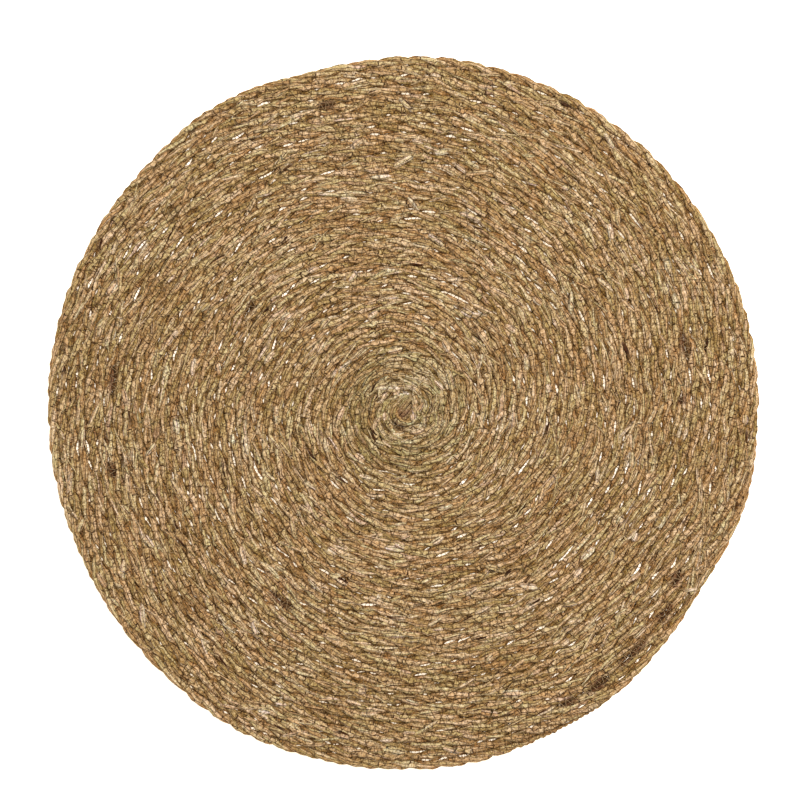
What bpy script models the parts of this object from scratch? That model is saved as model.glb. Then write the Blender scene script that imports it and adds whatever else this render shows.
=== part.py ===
"""Round seagrass placemat: one long cord coiled flat and sewn row to row.

The mat is one solid, because the coil is a single sewn piece. Its origin is the centre of
the coil on the underside, +Z is up through the thickness, and units are metres. Seen from
above, the coil grows anticlockwise. Its tail thins out and tucks in behind the last row
but one, so the rim steps in by one cord width there.
"""

import math

import bpy

MEAN_RADIUS = 0.18925      # centre of the coil to the middle of the rim's step
THICKNESS = 0.0052         # one cord, pressed a little flat by the sewing
CORD_WIDTH = 0.0051        # one row of the coil
RIM_ROUNDING = 0.0018      # how far the cord's round side rolls in at the rim
RIM_POINTS = 240
ROUNDING_STEPS = 2

TAIL_TIP_DEG = 304.0       # where the cord's last end is, anticlockwise from +X
TAIL_LENGTH_DEG = 23.0     # how much of the rim the thinning tail takes

# Each bulge or hollow of the hand-wound rim: where its middle is, how far it reaches to
# each side, and how far it stands out (a hollow is negative).
UNEVENNESS = (
    {"middle_deg": 25.0, "reach_deg": 95.0, "height": 0.0032},
    {"middle_deg": 103.0, "reach_deg": 18.0, "height": -0.0018},
    {"middle_deg": 122.0, "reach_deg": 18.0, "height": 0.0022},
    {"middle_deg": 205.0, "reach_deg": 45.0, "height": -0.0018},
    {"middle_deg": 243.0, "reach_deg": 14.0, "height": 0.0012},
    {"middle_deg": 304.0, "reach_deg": 16.0, "height": 0.0028},
    {"middle_deg": 330.0, "reach_deg": 14.0, "height": -0.0024},
    {"middle_deg": 347.0, "reach_deg": 14.0, "height": 0.0012},
)

SEAGRASS_COLOUR = (0.42, 0.30, 0.15, 1.0)
SEAGRASS_ROUGHNESS = 0.7


def smooth_step(share):
    """Ease from 0 to 1 with a level start and end."""
    return share * share * (3.0 - 2.0 * share)


def spiral_gain(angle_deg):
    """Share of a cord width that the coil has grown since the tail's tip."""
    past_tip = (angle_deg - TAIL_TIP_DEG) % 360.0
    full_row = 360.0 - TAIL_LENGTH_DEG
    if past_tip <= full_row:
        return past_tip / full_row
    return 1.0 - smooth_step((past_tip - full_row) / TAIL_LENGTH_DEG)


def bulge_height(angle_deg, bulge):
    """Height of one bulge at an angle: a single cosine hump, nothing past its reach."""
    away = abs((angle_deg - bulge["middle_deg"] + 180.0) % 360.0 - 180.0)
    if away >= bulge["reach_deg"]:
        return 0.0
    return bulge["height"] * 0.5 * (1.0 + math.cos(math.pi * away / bulge["reach_deg"]))


def rim_radius(angle_deg):
    """Radius of the mat's rim at an angle."""
    radius = MEAN_RADIUS + CORD_WIDTH * (spiral_gain(angle_deg) - 0.5)
    for bulge in UNEVENNESS:
        radius += bulge_height(angle_deg, bulge)
    return radius


def clear_scene():
    """Remove every object of the open scene."""
    for old in list(bpy.data.objects):
        bpy.data.objects.remove(old, do_unlink=True)


def seagrass_material():
    """Dry twisted seagrass, straw brown and matt."""
    material = bpy.data.materials.new("seagrass")
    material.use_nodes = True
    shader = material.node_tree.nodes["Principled BSDF"]
    shader.inputs["Base Color"].default_value = SEAGRASS_COLOUR
    shader.inputs["Roughness"].default_value = SEAGRASS_ROUGHNESS
    shader.inputs["Metallic"].default_value = 0.0
    return material


def rim_outline(name):
    """Closed flat outline of the mat, as a filled 2D curve of the mat's thickness."""
    outline = bpy.data.curves.new(name, "CURVE")
    outline.dimensions = "2D"
    outline.fill_mode = "BOTH"
    outline.extrude = THICKNESS / 2.0
    spline = outline.splines.new("POLY")
    spline.points.add(RIM_POINTS - 1)
    for index, point in enumerate(spline.points):
        angle_deg = 360.0 * index / RIM_POINTS
        radius = rim_radius(angle_deg)
        angle = math.radians(angle_deg)
        point.co = (radius * math.cos(angle), radius * math.sin(angle), 0.0, 1.0)
    spline.use_cyclic_u = True
    return outline


def coiled_mat(collection):
    """The sewn coil: a flat disc with the wound rim, rounded over at top and bottom."""
    mat = bpy.data.objects.new("coiled_mat", rim_outline("coiled_mat"))
    mat.location = (0.0, 0.0, THICKNESS / 2.0)
    collection.objects.link(mat)
    weld = mat.modifiers.new("weld", "WELD")
    weld.merge_threshold = 0.00005
    rounding = mat.modifiers.new("rim rounding", "BEVEL")
    rounding.width = RIM_ROUNDING
    rounding.segments = ROUNDING_STEPS
    rounding.limit_method = "ANGLE"
    rounding.angle_limit = math.radians(60.0)
    mat.data.materials.append(seagrass_material())
    return mat


def main():
    """Build the placemat in its own collection."""
    clear_scene()
    collection = bpy.data.collections.new("seagrass_placemat")
    bpy.context.scene.collection.children.link(collection)
    coiled_mat(collection)


main()
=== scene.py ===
"""Looks of a round seagrass placemat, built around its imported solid.

A two-ply twisted seagrass cord winds out from the centre, anticlockwise seen from above.
A fine brown thread zigzags over every join between two rows, above and below, and whips the
thinning tail of the cord to the rim. Units are metres and +Z is up.
"""

import logging
import math
from dataclasses import dataclass
from enum import Enum
from typing import Dict, List, Sequence, Tuple

import bpy
import numpy as np
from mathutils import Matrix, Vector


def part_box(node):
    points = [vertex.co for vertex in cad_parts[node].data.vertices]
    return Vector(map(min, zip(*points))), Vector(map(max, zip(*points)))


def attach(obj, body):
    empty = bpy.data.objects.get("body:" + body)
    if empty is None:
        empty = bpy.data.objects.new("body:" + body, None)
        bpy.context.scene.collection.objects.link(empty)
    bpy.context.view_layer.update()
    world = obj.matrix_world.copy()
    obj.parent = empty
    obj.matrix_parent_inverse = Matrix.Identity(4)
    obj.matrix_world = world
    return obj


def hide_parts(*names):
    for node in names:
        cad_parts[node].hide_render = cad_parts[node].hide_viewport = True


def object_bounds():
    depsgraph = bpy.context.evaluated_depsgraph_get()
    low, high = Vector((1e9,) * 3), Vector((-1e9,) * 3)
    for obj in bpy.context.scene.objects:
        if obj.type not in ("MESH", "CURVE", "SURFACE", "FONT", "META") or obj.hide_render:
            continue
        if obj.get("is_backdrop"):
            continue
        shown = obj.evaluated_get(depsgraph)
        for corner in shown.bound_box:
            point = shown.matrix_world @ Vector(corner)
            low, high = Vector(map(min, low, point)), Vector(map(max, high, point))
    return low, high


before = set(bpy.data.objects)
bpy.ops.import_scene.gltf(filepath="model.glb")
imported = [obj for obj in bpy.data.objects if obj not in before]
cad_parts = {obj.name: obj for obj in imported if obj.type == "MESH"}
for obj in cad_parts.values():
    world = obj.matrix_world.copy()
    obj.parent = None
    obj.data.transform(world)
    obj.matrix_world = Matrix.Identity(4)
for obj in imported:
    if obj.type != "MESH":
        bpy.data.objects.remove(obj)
CAD_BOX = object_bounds()

MAT_NODE = "coiled_mat"
BODY = "root"
MM = 0.001
TAU = 2.0 * math.pi

log = logging.getLogger("placemat")

Colour = Tuple[float, float, float]


class Slot(Enum):
    """The record's material slots, one for the seagrass and one for the thread."""

    SEAGRASS = "seagrass"
    THREAD = "thread"


class Face(Enum):
    """A side of the mat, as the sign of its height over the middle of the cord."""

    TOP = 1.0
    UNDERSIDE = -1.0


def ease(share: np.ndarray) -> np.ndarray:
    """Go from 0 to 1 with level ends: 3s^2 - 2s^3, with s held within 0 and 1."""
    held = np.clip(share, 0.0, 1.0)
    return held * held * (3.0 - 2.0 * held)


@dataclass(frozen=True)
class Wander:
    """An uneven smooth line: seeded random heights at even steps, eased between them."""

    step: float
    seed: int
    count: int = 8192

    def at(self, along: np.ndarray) -> np.ndarray:
        """Read the line.

        Args:
            along: distances along the line, in metres.

        Returns:
            Heights between -1 and 1.
        """
        heights = np.random.default_rng(self.seed).uniform(-1.0, 1.0, self.count)
        place = np.asarray(along, float) / self.step
        low = np.floor(place).astype(np.int64)
        share = ease(place - low)
        here, ahead = heights[low % self.count], heights[(low + 1) % self.count]
        return (1.0 - share) * here + share * ahead


@dataclass(frozen=True)
class PackedRim:
    """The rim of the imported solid, read as a radius for each angle."""

    node: str = MAT_NODE
    steps: int = 240

    def points(self) -> np.ndarray:
        """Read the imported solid.

        Returns:
            Its vertices, as rows of x, y, z.
        """
        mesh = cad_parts[self.node].data
        flat = np.empty(len(mesh.vertices) * 3)
        mesh.vertices.foreach_get("co", flat)
        return flat.reshape(-1, 3)

    def radius_at(self, degrees: np.ndarray) -> np.ndarray:
        """Radius of the rim: the widest vertex near each of the evenly spaced angles.

        Args:
            degrees: angles anticlockwise from +X.

        Returns:
            Radii in metres.
        """
        x, y, _ = self.points().T
        spacing = 360.0 / self.steps
        place = np.rint(np.degrees(np.arctan2(y, x)) / spacing).astype(int) % self.steps
        widest = np.zeros(self.steps)
        np.maximum.at(widest, place, np.hypot(x, y))
        found = np.flatnonzero(widest > 0.5 * widest.max())
        return np.interp(degrees, found * spacing, widest[found], period=360.0)


@dataclass(frozen=True)
class Hollow:
    """A dark gap between two rows, bridged by the thread: its middle and its length."""

    degrees: float
    radius: float
    length: float


HOLLOWS = (
    Hollow(degrees=255.0, radius=5.8 * MM, length=7.0 * MM),
    Hollow(degrees=2.5, radius=150.0 * MM, length=9.0 * MM),
    Hollow(degrees=13.0, radius=153.5 * MM, length=16.0 * MM),
    Hollow(degrees=104.0, radius=170.0 * MM, length=14.0 * MM),
    Hollow(degrees=146.0, radius=97.0 * MM, length=10.0 * MM),
    Hollow(degrees=174.0, radius=155.0 * MM, length=24.0 * MM),
    Hollow(degrees=191.5, radius=157.0 * MM, length=12.0 * MM),
    Hollow(degrees=237.5, radius=122.0 * MM, length=20.0 * MM),
    Hollow(degrees=299.5, radius=176.5 * MM, length=15.0 * MM),
    Hollow(degrees=305.5, radius=181.0 * MM, length=20.0 * MM),
    Hollow(degrees=313.5, radius=179.5 * MM, length=26.0 * MM),
    Hollow(degrees=322.5, radius=176.0 * MM, length=16.0 * MM),
    Hollow(degrees=328.5, radius=172.5 * MM, length=14.0 * MM),
)


@dataclass
class Coil:
    """The route of the cord: a flat spiral whose rows share their joins.

    A place on the cord is given in turns. Whole turns lie on +X, and the lane is the row's
    middle before the tail thins. A join is halfway between a lane and the next one out.
    """

    rim: PackedRim
    pitch: float = 5.1 * MM
    tail_tip: float = 304.0
    tail_length: float = 23.0
    tail_end: float = 0.14
    last_turn: float = 37.0 + 304.0 / 360.0
    head_turns: float = 0.42
    lay: float = 29.0 * MM
    lay_swing: float = 1.3
    stitch: float = 2.05 * MM
    stitch_swing: float = 1.1
    closest_join: float = 0.35 * MM
    wobble: float = 0.34 * MM
    give: float = 0.26 * MM
    drift_seed: int = 21
    drift_lobes: Tuple[int, int] = (2, 12)
    drift_rows: float = 9.0
    drift_low: float = 0.35
    drift_high: float = 0.7
    drift_unit: float = MM
    least_radius: float = 0.05 * MM

    def __post_init__(self) -> None:
        """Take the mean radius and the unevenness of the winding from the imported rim."""
        self.angles = np.arange(0.0, 360.0, 0.5)
        past_tip = (self.angles - self.tail_tip) % 360.0
        even = self.pitch * (past_tip / 360.0 - 0.5 - (1.0 - self.tail_share(past_tip)))
        uneven = self.rim.radius_at(self.angles) - even
        self.mean_radius = float(uneven.mean())
        self.unevenness = uneven - self.mean_radius
        self.lane_zero = self.last_turn - self.mean_radius / self.pitch
        self.first_turn = self.lane_zero + self.head_turns
        self.join_wobble = Wander(14.0 * MM, 11)
        self.lay_wobble = Wander(70.0 * MM, 12)
        self.stitch_wobble = Wander(24.0 * MM, 13)

    def tail_share(self, past_tip: np.ndarray) -> np.ndarray:
        """Share of the cord's width left, at degrees past the tail's tip."""
        gone = ease((past_tip - 360.0 + self.tail_length) / self.tail_length)
        return 1.0 - (1.0 - self.tail_end) * gone

    def thickness_left(self, turns: np.ndarray) -> np.ndarray:
        """Share of the cord's width left at a place on the cord."""
        return self.tail_share(360.0 - (self.last_turn - turns) * 360.0)

    def run(self, turns: np.ndarray) -> np.ndarray:
        """Length of cord from the centre: pi times the pitch times turns squared."""
        wound = np.maximum(turns - self.lane_zero, 0.0)
        return math.pi * self.pitch * wound * wound

    def turns_at(self, run: np.ndarray) -> np.ndarray:
        """Place on the cord at a length from the centre, the inverse of run."""
        return self.lane_zero + np.sqrt(run / (math.pi * self.pitch))

    def drift(self, degrees: np.ndarray, share: np.ndarray) -> np.ndarray:
        """Slow waves of the hand winding, none at the centre and at the rim.

        Args:
            degrees: angles of the points.
            share: their radii as shares of the mean radius.

        Returns:
            The sum of cosines of whole numbers of lobes, which turn from row to row.
        """
        waves = np.random.default_rng(self.drift_seed)
        total = np.zeros(np.broadcast(degrees, share).shape)
        for lobes in range(*self.drift_lobes):
            rows = waves.uniform(-self.drift_rows, self.drift_rows)
            shift = waves.uniform(0.0, TAU)
            height = waves.uniform(self.drift_low, self.drift_high)
            height = height * self.drift_unit / math.sqrt(lobes)
            total = total + height * np.cos(np.radians(degrees) * lobes + rows * share + shift)
        return total * np.sin(math.pi * np.clip(share, 0.0, 1.0))

    def lane(self, turns: np.ndarray) -> np.ndarray:
        """Radius of a row's lane: even growth, the rim's unevenness fading inwards, drift.

        Args:
            turns: places on the cord.

        Returns:
            Radii in metres.
        """
        even = self.pitch * (turns - self.lane_zero)
        share = np.clip(even / self.mean_radius, 0.0, None)
        degrees = (turns * 360.0) % 360.0
        uneven = np.interp(degrees, self.angles, self.unevenness, period=360.0)
        return even + uneven * share ** 1.5 + self.drift(degrees, share)

    def join(self, turns: np.ndarray) -> np.ndarray:
        """Radius of the join between the row at these turns and the next one out.

        It is halfway between the lanes, with a wobble, and gives way to a row whose plies
        lie side by side there: the cosine of twice the twist, this row's less the next's.

        Args:
            turns: places on the cord.

        Returns:
            Radii in metres.
        """
        wound = turns - self.lane_zero
        calm = ease(wound / 2.0) * ease((self.last_turn - 1.0 - turns) / 0.04)
        wobble = self.wobble * self.join_wobble.at(self.run(turns))
        give = np.cos(2.0 * self.twist(turns)) - np.cos(2.0 * self.twist(turns + 1.0))
        middle = 0.5 * (self.lane(turns) + self.lane(turns + 1.0))
        return np.maximum(middle + (wobble + self.give * give) * calm, self.closest_join)

    def edges(self, turns: np.ndarray) -> Tuple[np.ndarray, np.ndarray]:
        """Edges of the cord, which thins towards its inner join at the tail.

        Args:
            turns: places on the cord.

        Returns:
            Inner and outer radii.
        """
        inner = self.join(turns - 1.0)
        outer = inner + self.thickness_left(turns) * (self.join(turns) - inner)
        return inner, outer

    def centre(self, turns: np.ndarray) -> np.ndarray:
        """Radius of the middle of the cord."""
        inner, outer = self.edges(turns)
        return 0.5 * (inner + outer)

    def twist(self, turns: np.ndarray) -> np.ndarray:
        """Turn of the first ply about the cord, in radians; the lay is S, so it falls."""
        run = self.run(turns)
        return -TAU * run / self.lay + self.lay_swing * self.lay_wobble.at(run)

    def stitches(self, turns: np.ndarray) -> np.ndarray:
        """Count of stitches along the join outside these turns; whole counts are holes."""
        run = self.run(turns + 0.5)
        return run / self.stitch + self.stitch_swing * self.stitch_wobble.at(run)

    def stitch_places(self, turns: np.ndarray, radius: np.ndarray) -> np.ndarray:
        """Where points are among the stitches of the row that these turns are on.

        Args:
            turns: places on the cord.
            radius: the points' radii, one row of numbers for each place.

        Returns:
            Stitch counts of the outer and the inner join, and the place across the row from
            -1 to 1. A side with no join counts as far from any stitch.
        """
        inner, outer = self.edges(turns)
        middle, half = 0.5 * (inner + outer), 0.5 * (outer - inner)
        across = (radius - middle[:, None]) / half[:, None]
        free = turns > self.last_turn - 1.0
        first = turns < self.first_turn + 1.0
        out_count = np.where(free, 1.0, self.stitches(turns))
        in_count = np.where(first, 0.0, self.stitches(turns - 1.0))
        columns = (out_count[:, None], in_count[:, None], across)
        return np.stack(np.broadcast_arrays(*columns), axis=-1)

    def row_at(self, angle: np.ndarray, radius: np.ndarray) -> np.ndarray:
        """Place on the cord of the row that lies under a point.

        Args:
            angle: the point's angle, in turns.
            radius: its distance from the centre.

        Returns:
            Turns that differ from the angle by whole numbers and lie within the cord.
        """
        guess = angle + np.rint(radius / self.pitch + self.lane_zero - angle)
        rows = np.stack([guess - 1.0, guess, guess + 1.0])
        wrong = (rows < self.first_turn) | (rows > self.last_turn)
        away = np.abs(self.centre(rows) - radius) + np.where(wrong, 1.0, 0.0)
        return np.take_along_axis(rows, away.argmin(axis=0)[None], axis=0)[0]

    def place(self, turns: np.ndarray, radius: np.ndarray, height: np.ndarray) -> np.ndarray:
        """Turn cylindrical places into points.

        Args:
            turns: angles in turns.
            radius: distances from the centre.
            height: heights over the floor.

        Returns:
            Points, with x, y and z along a new last axis.
        """
        angle = TAU * turns
        away = np.maximum(radius, self.least_radius)
        x, y, z = np.broadcast_arrays(away * np.cos(angle), away * np.sin(angle), height)
        return np.stack([x, y, z], axis=-1)


@dataclass
class TwistedCord:
    """The section of the cord: two D-shaped plies, flat to flat, turning with the lay.

    A ply's section is a flattened round. It is squeezed sideways until the row fills the
    space between its joins, except at small slits and hollows, and pressed in height.
    """

    coil: Coil
    side_angles: Tuple[float, ...] = (150.0, 108.0, 76.0, 46.0, 15.0,
                                      -15.0, -46.0, -76.0, -108.0, -150.0)
    ply_offset: float = 1.15 * MM
    ply_proud: float = 1.32 * MM
    ply_inset: float = 1.38 * MM
    ply_broad: float = 1.75 * MM
    squareness: float = 0.76
    relief: Tuple[float, float, float] = (0.055, 0.045, 0.08)
    relief_lengths: Tuple[float, float] = (17.0 * MM, 11.0 * MM)
    relief_in_height: float = 0.7
    half_height: float = 2.42 * MM
    pressed: float = 0.7
    rim_fill: float = -0.6
    overlap: float = 1.16
    slit_depth: float = 0.31
    slit_from: float = 0.45
    slit_rise: float = 0.28
    slit_zone_share: float = 0.25
    calm_turns: Tuple[float, float] = (2.0, 7.0)
    hollow_depth: float = 0.11
    hollow_drop: float = 0.3
    dent_depth: float = 0.045
    whip_bulge: float = 0.34 * MM
    whip_step: float = 3.3 * MM
    whip_grip: float = 0.3
    middle_raised: float = 0.22 * MM
    off_cord: float = -3.0 * MM
    off_mat: float = -1.0 * MM
    least_span: float = 1e-9

    def __post_init__(self) -> None:
        """Keep the middle height, the places of the hollows and the seeded uneven lines."""
        coil = self.coil
        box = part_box(MAT_NODE)
        self.middle_height = 0.5 * (box[0].z + box[1].z) + self.middle_raised
        self.around = np.radians(self.side_angles)
        self.swell = (Wander(31.0 * MM, 31), Wander(27.0 * MM, 32))
        self.slit_line = Wander(2.8 * MM, 33)
        self.slit_zone = Wander(60.0 * MM, 34)
        self.dent = Wander(11.0 * MM, 35)
        angles = np.array([one.degrees / 360.0 for one in HOLLOWS])
        radii = np.array([one.radius for one in HOLLOWS])
        self.hollow_turns = coil.row_at(angles, radii - 0.5 * coil.pitch)

    def slit(self, turns: np.ndarray) -> np.ndarray:
        """How far the join outside these turns gapes; there are few slits near the centre.

        Args:
            turns: places on the cord.

        Returns:
            Shares from 0 for closed to 1 for a full slit.
        """
        run = self.coil.run(turns)
        chance = self.slit_line.at(run) + self.slit_zone_share * self.slit_zone.at(run)
        calm = ease((turns - self.coil.first_turn - self.calm_turns[0]) / self.calm_turns[1])
        gape = ease((chance - self.slit_from) / self.slit_rise)
        return gape * calm * (1.0 - self.hollow(turns))

    def hollow(self, turns: np.ndarray) -> np.ndarray:
        """How deep the join outside these turns sinks: a flat-topped bell along each hollow.

        Args:
            turns: places on the cord.

        Returns:
            Shares from 0 to 1, by e to the minus fourth power of the distance along.
        """
        deepest = np.zeros(np.shape(turns))
        for one, middle in zip(HOLLOWS, self.hollow_turns):
            along = TAU * (turns - middle) * one.radius / (0.5 * one.length)
            deepest = np.maximum(deepest, np.exp(-np.clip(along, -3.0, 3.0) ** 4))
        return deepest

    def raw(self, turns: np.ndarray, ply: int, around: np.ndarray) -> Tuple[np.ndarray, np.ndarray]:
        """A ply's skin before the squeeze.

        The section is u = offset + reach * cos, v = broad * sin, with softened powers and a
        relief of slow waves; the twist then turns u and v about the cord's middle.

        Args:
            turns: places on the cord.
            ply: 0 or 1.
            around: angles about the ply, 0 on its outer side.

        Returns:
            Sideways and upward distances from the cord's middle.
        """
        run = self.coil.run(turns)
        cos, sin = np.cos(around), np.sin(around)
        across = np.sign(cos) * np.abs(cos) ** self.squareness
        along = np.sign(sin) * np.abs(sin) ** self.squareness
        three, two, swell = self.relief
        long, short = self.relief_lengths
        relief = three * np.cos(3.0 * around + TAU * run / long + ply)
        relief = relief + two * np.cos(2.0 * around - TAU * run / short + 2.0 * ply)
        relief = relief + swell * self.swell[ply].at(run)
        reach = np.where(cos > 0.0, self.ply_proud * (1.0 + relief), self.ply_inset)
        left = self.coil.thickness_left(turns)
        u = (self.ply_offset + reach * across) * left
        v = self.ply_broad * (1.0 + self.relief_in_height * relief) * along * left
        turn = self.coil.twist(turns) + math.pi * ply
        return u * np.cos(turn) - v * np.sin(turn), u * np.sin(turn) + v * np.cos(turn)

    def squeeze(self, turns: np.ndarray) -> Tuple[np.ndarray, np.ndarray, np.ndarray]:
        """Factors that fit the section into its row.

        Args:
            turns: places on the cord, in one row of numbers.

        Returns:
            Factors for the inner side, the outer side and the height.
        """
        pairs = [self.raw(turns[:, None], ply, self.around[None, :]) for ply in (0, 1)]
        side = np.abs(np.concatenate([pair[0] for pair in pairs], axis=1)).max(axis=1)
        rise = np.abs(np.concatenate([pair[1] for pair in pairs], axis=1)).max(axis=1)
        inner, outer = self.coil.edges(turns)
        half = 0.5 * (outer - inner)
        free = turns > self.coil.last_turn - 1.0
        below, above = self.hollow(turns - 1.0), self.hollow(turns)
        inward = self.overlap - self.slit_depth * self.slit(turns - 1.0)
        inward = half * (inward - self.hollow_depth * below) / side
        outward = self.overlap - self.slit_depth * self.slit(turns)
        outward = half * (outward - self.hollow_depth * above) / side
        run = self.coil.run(turns)
        left = self.coil.thickness_left(turns)
        bound = ease((1.0 - left) / self.whip_grip)
        whipped = self.whip_bulge * bound * np.cos(TAU * run / self.whip_step) / side
        at_rim = 1.0 + self.rim_fill * (half / side - 1.0) + whipped
        level = 1.0 + self.pressed * (self.half_height * left ** 0.5 / rise - 1.0)
        sunk = 1.0 - self.hollow_drop * np.maximum(below, above)
        dent = 1.0 + self.dent_depth * self.dent.at(run)
        return inward, np.where(free, at_rim, outward), level * dent * sunk

    def skin(self, turns: np.ndarray, ply: int, around: np.ndarray) -> Tuple[np.ndarray, np.ndarray]:
        """A ply's skin as it lies in the mat.

        Args:
            turns: places on the cord, in one row of numbers.
            ply: 0 or 1.
            around: angles about the ply, one row for each place.

        Returns:
            Sideways and upward distances from the cord's middle.
        """
        side, rise = self.raw(turns[:, None], ply, around)
        inward, outward, level = (factor[:, None] for factor in self.squeeze(turns))
        return side * np.where(side < 0.0, inward, outward), rise * level

    def points(self, turns: np.ndarray, side: np.ndarray, rise: np.ndarray) -> np.ndarray:
        """Points in the mat, from the cord's middle: sideways, and up by the rise."""
        radius = self.coil.centre(turns)[:, None] + side
        return self.coil.place(turns[:, None], radius, self.middle_height + rise)

    def surface(self, turns: np.ndarray, side: np.ndarray, face: Face) -> np.ndarray:
        """Height of the cord's surface at a sideways distance, or a low value off the cord.

        Each edge of the two sections that spans the distance is read there, and the one
        furthest towards the face counts.

        Args:
            turns: places on the cord, in one row of numbers.
            side: sideways distances from the cord's middle.
            face: the face to read.

        Returns:
            Heights over the middle of the cord, towards the face.
        """
        around = np.broadcast_to(self.around, (len(turns), len(self.around)))
        best = np.full(len(turns), self.off_cord)
        for ply in (0, 1):
            y0, z0 = self.skin(turns, ply, around)
            y1, z1 = np.roll(y0, -1, axis=1), np.roll(z0, -1, axis=1)
            low, high = np.minimum(y0, y1), np.maximum(y0, y1)
            spans = (low <= side[:, None]) & (side[:, None] <= high)
            spans &= high - low > self.least_span
            share = (side[:, None] - y0) / np.where(spans, y1 - y0, 1.0)
            height = face.value * (z0 + share * (z1 - z0))
            best = np.maximum(best, np.where(spans, height, self.off_cord).max(axis=1))
        return best

    def cover(self, angle: np.ndarray, radius: np.ndarray, face: Face) -> np.ndarray:
        """Height of the mat's surface at points: the highest of a row and its neighbours.

        Args:
            angle: angles of the points, in turns, in one row of numbers.
            radius: their distances from the centre.
            face: the face to read.

        Returns:
            Heights over the middle of the cord, towards the face.
        """
        coil = self.coil
        middle = coil.row_at(angle, radius)
        best = np.full(len(radius), self.off_mat)
        for step in (-1.0, 0.0, 1.0):
            row = middle + step
            there = (row >= coil.first_turn) & (row <= coil.last_turn)
            row = np.clip(row, coil.first_turn, coil.last_turn)
            height = self.surface(row, radius - coil.centre(row), face)
            best = np.where(there, np.maximum(best, height), best)
        return best


def link(name: str, vertices: np.ndarray, sizes: np.ndarray, corners: np.ndarray
         ) -> bpy.types.Object:
    """Make a smooth-shaded mesh object at the origin.

    Args:
        name: the object's name.
        vertices: rows of x, y, z.
        sizes: how many corners each face has.
        corners: the faces' vertex numbers one after the other, wound to face outwards.

    Returns:
        The new object, linked to the scene.
    """
    mesh = bpy.data.meshes.new(name)
    mesh.vertices.add(len(vertices))
    mesh.vertices.foreach_set("co", np.asarray(vertices, np.float32).ravel())
    mesh.loops.add(len(corners))
    mesh.loops.foreach_set("vertex_index", np.asarray(corners, np.int32))
    mesh.polygons.add(len(sizes))
    starts = np.concatenate([[0], np.cumsum(sizes)[:-1]])
    mesh.polygons.foreach_set("loop_start", starts.astype(np.int32))
    mesh.polygons.foreach_set("loop_total", sizes.astype(np.int32))
    mesh.polygons.foreach_set("use_smooth", np.ones(len(sizes), bool))
    mesh.update(calc_edges=True)
    thing = bpy.data.objects.new(name, mesh)
    bpy.context.scene.collection.objects.link(thing)
    return thing


@dataclass
class Tubes:
    """Closed tubes of one size of grid: rings of points carried along a path, with caps.

    rings has the shape tubes, rings, sides, 3. Each ring is ordered so that its points turn
    about the path by the right-hand rule.
    """

    name: str
    rings: np.ndarray

    def numbers(self) -> Tuple[np.ndarray, np.ndarray]:
        """Number the faces: quads between rings and one flat cap at each end.

        Returns:
            Face sizes, and the faces' vertex numbers one after the other.
        """
        tubes, count, sides = self.rings.shape[:3]
        index = np.arange(tubes * count * sides).reshape(tubes, count, sides)
        ahead = np.roll(index, -1, axis=2)
        quads = np.stack([index[:, :-1], ahead[:, :-1], ahead[:, 1:], index[:, 1:]], axis=-1)
        caps = np.concatenate([index[:, 0, ::-1], index[:, -1]])
        sizes = np.concatenate([np.full(quads.size // 4, 4), np.full(len(caps), sides)])
        return sizes, np.concatenate([quads.ravel(), caps.ravel()])

    def build(self) -> bpy.types.Object:
        """Make the mesh object, whose faces point outwards."""
        sizes, corners = self.numbers()
        return link(self.name, self.rings.reshape(-1, 3), sizes, corners)

    def corner_values(self, low: np.ndarray, high: np.ndarray, around: np.ndarray
                      ) -> np.ndarray:
        """Lay a map over the tubes.

        Args:
            low: the value at the first ring of each band between two rings, tube by tube.
            high: the value at the second ring of each band.
            around: values for each side and one more, which closes the ring; one row for
                all bands, or one for each band.

        Returns:
            Two numbers for each face corner, in the order of the faces.
        """
        tubes, count, sides = self.rings.shape[:3]
        shape = (tubes, count - 1, sides)
        around = np.broadcast_to(around, (tubes, count - 1, sides + 1))
        near, far = around[:, :, :-1], around[:, :, 1:]
        low, high = low[:, :, None], high[:, :, None]
        u = np.stack([np.broadcast_to(part, shape) for part in (low, low, high, high)], -1)
        v = np.stack([near, far, far, near], axis=-1)
        quads = np.stack([u, v], axis=-1).reshape(-1, 2)
        ends = np.repeat(np.concatenate([low[:, 0, 0], high[:, -1, 0]]), sides)
        rim = np.concatenate([near[:, 0, ::-1].ravel(), near[:, -1].ravel()])
        return np.concatenate([quads, np.stack([ends, rim], axis=-1)])


# Sections of swept tubes, as points across and along the third vector, by the right hand.
THREAD_SECTION = ((1.0, 0.0), (-0.5, 0.866), (-0.5, -0.866))
BLADE_SECTION = ((1.0, 0.0), (0.5, 1.0), (-0.5, 1.0), (-1.0, 0.0))

# Places across a blade of the points of its section, and one more for its flat back.
BLADE_PLACES = (1.0, 0.75, 0.25, 0.0, 0.0)


def sweep(path: np.ndarray, side: np.ndarray, radii: Tuple[np.ndarray, np.ndarray],
          section: Sequence[Tuple[float, float]]) -> np.ndarray:
    """Carry a section along paths.

    The path's direction is its gradient; the side vector is squared up to it, and the third
    vector is their cross product, so the ring turns about the path by the right hand.

    Args:
        path: tubes, points, 3.
        side: a vector to one side for each point.
        radii: what the section is scaled by along the side vector and across it.
        section: the section's points.

    Returns:
        Rings with the shape tubes, points, sides, 3.
    """
    ahead = np.gradient(path, axis=1)
    ahead /= np.maximum(np.linalg.norm(ahead, axis=-1, keepdims=True), 1e-12)
    side = side - (side * ahead).sum(-1, keepdims=True) * ahead
    side /= np.maximum(np.linalg.norm(side, axis=-1, keepdims=True), 1e-12)
    third = np.cross(ahead, side)
    across, up = np.array(section).T
    wide = side[:, :, None] * (radii[0][..., None] * across)[..., None]
    thick = third[:, :, None] * (radii[1][..., None] * up)[..., None]
    return path[:, :, None] + wide + thick


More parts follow.
